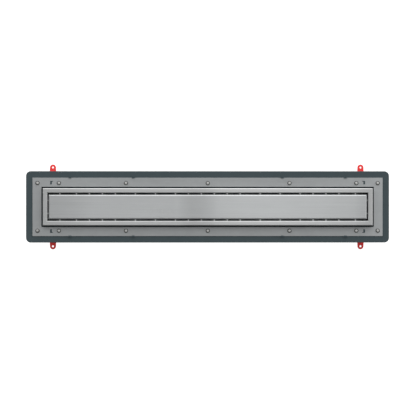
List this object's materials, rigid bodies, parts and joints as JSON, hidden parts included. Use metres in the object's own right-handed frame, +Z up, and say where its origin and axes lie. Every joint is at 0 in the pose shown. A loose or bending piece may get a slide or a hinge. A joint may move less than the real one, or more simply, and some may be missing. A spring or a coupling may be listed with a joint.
{
  "type": "linear shower drain",
  "caption": "Long shower channel with a raised steel frame, brushed cover, clamping flange, trap with side outlet and red levelling feet.",
  "frame": {"origin": "middle of the channel's footprint, on the plane of the foot soles", "axes": "+X along the channel towards the outlet, +Z up"},
  "size_m": [0.7718, 0.1836, 0.117],
  "materials": {
    "slate_plastic": "matte, fine moulded grain",
    "frame_steel": "satin",
    "cover_steel": "brushed lengthwise",
    "flange_steel": "rolled, dull",
    "screw_steel": "plain",
    "sealing_rubber": "matte",
    "trap_plastic": "moulded",
    "foot_plastic": "moulded",
    "zinc_steel": "zinc plated"
  },
  "bodies": {
    "drain": {"channel_body": "slate_plastic", "clamp_flange": "flange_steel", "cover_plate": "cover_steel", "cover_stiffener": "frame_steel", "flange_gasket": "sealing_rubber", "flange_screws": "screw_steel", "flange_washers": "sealing_rubber", "foot_nuts": "zinc_steel", "grate_frame": "frame_steel", "hair_sieve": "frame_steel", "insert_o_ring": "sealing_rubber", "trap_gasket": "sealing_rubber", "trap_insert": "trap_plastic", "trap_lid": "trap_plastic", "trap_pot": "trap_plastic", "trap_screws": "screw_steel"},
    "stud_left_back": {"foot_stud_left_back": "zinc_steel"},
    "base_left_back": {"foot_base_left_back": "foot_plastic"},
    "stud_left_front": {"foot_stud_left_front": "zinc_steel"},
    "base_left_front": {"foot_base_left_front": "foot_plastic"},
    "stud_right_back": {"foot_stud_right_back": "zinc_steel"},
    "base_right_back": {"foot_base_right_back": "foot_plastic"},
    "stud_right_front": {"foot_stud_right_front": "zinc_steel"},
    "base_right_front": {"foot_base_right_front": "foot_plastic"}
  },
  "joints": [
    {"name": "foot_height_left_back", "type": "slide", "parent": "drain", "child": "stud_left_back", "axis": [0, 0, 1], "range_m": [-0.025, 0.008]},
    {"name": "foot_swivel_left_back", "type": "hinge", "parent": "stud_left_back", "child": "base_left_back", "pos_m": [-0.333, 0.056, 0.004], "axis": [0, 0, 1], "continuous": true},
    {"name": "foot_height_left_front", "type": "slide", "parent": "drain", "child": "stud_left_front", "axis": [0, 0, 1], "range_m": [-0.025, 0.008]},
    {"name": "foot_swivel_left_front", "type": "hinge", "parent": "stud_left_front", "child": "base_left_front", "pos_m": [-0.333, -0.056, 0.004], "axis": [0, 0, 1], "continuous": true},
    {"name": "foot_height_right_back", "type": "slide", "parent": "drain", "child": "stud_right_back", "axis": [0, 0, 1], "range_m": [-0.025, 0.008]},
    {"name": "foot_swivel_right_back", "type": "hinge", "parent": "stud_right_back", "child": "base_right_back", "pos_m": [0.333, 0.056, 0.004], "axis": [0, 0, 1], "continuous": true},
    {"name": "foot_height_right_front", "type": "slide", "parent": "drain", "child": "stud_right_front", "axis": [0, 0, 1], "range_m": [-0.025, 0.008]},
    {"name": "foot_swivel_right_front", "type": "hinge", "parent": "stud_right_front", "child": "base_right_front", "pos_m": [0.333, -0.056, 0.004], "axis": [0, 0, 1], "continuous": true}
  ]
}
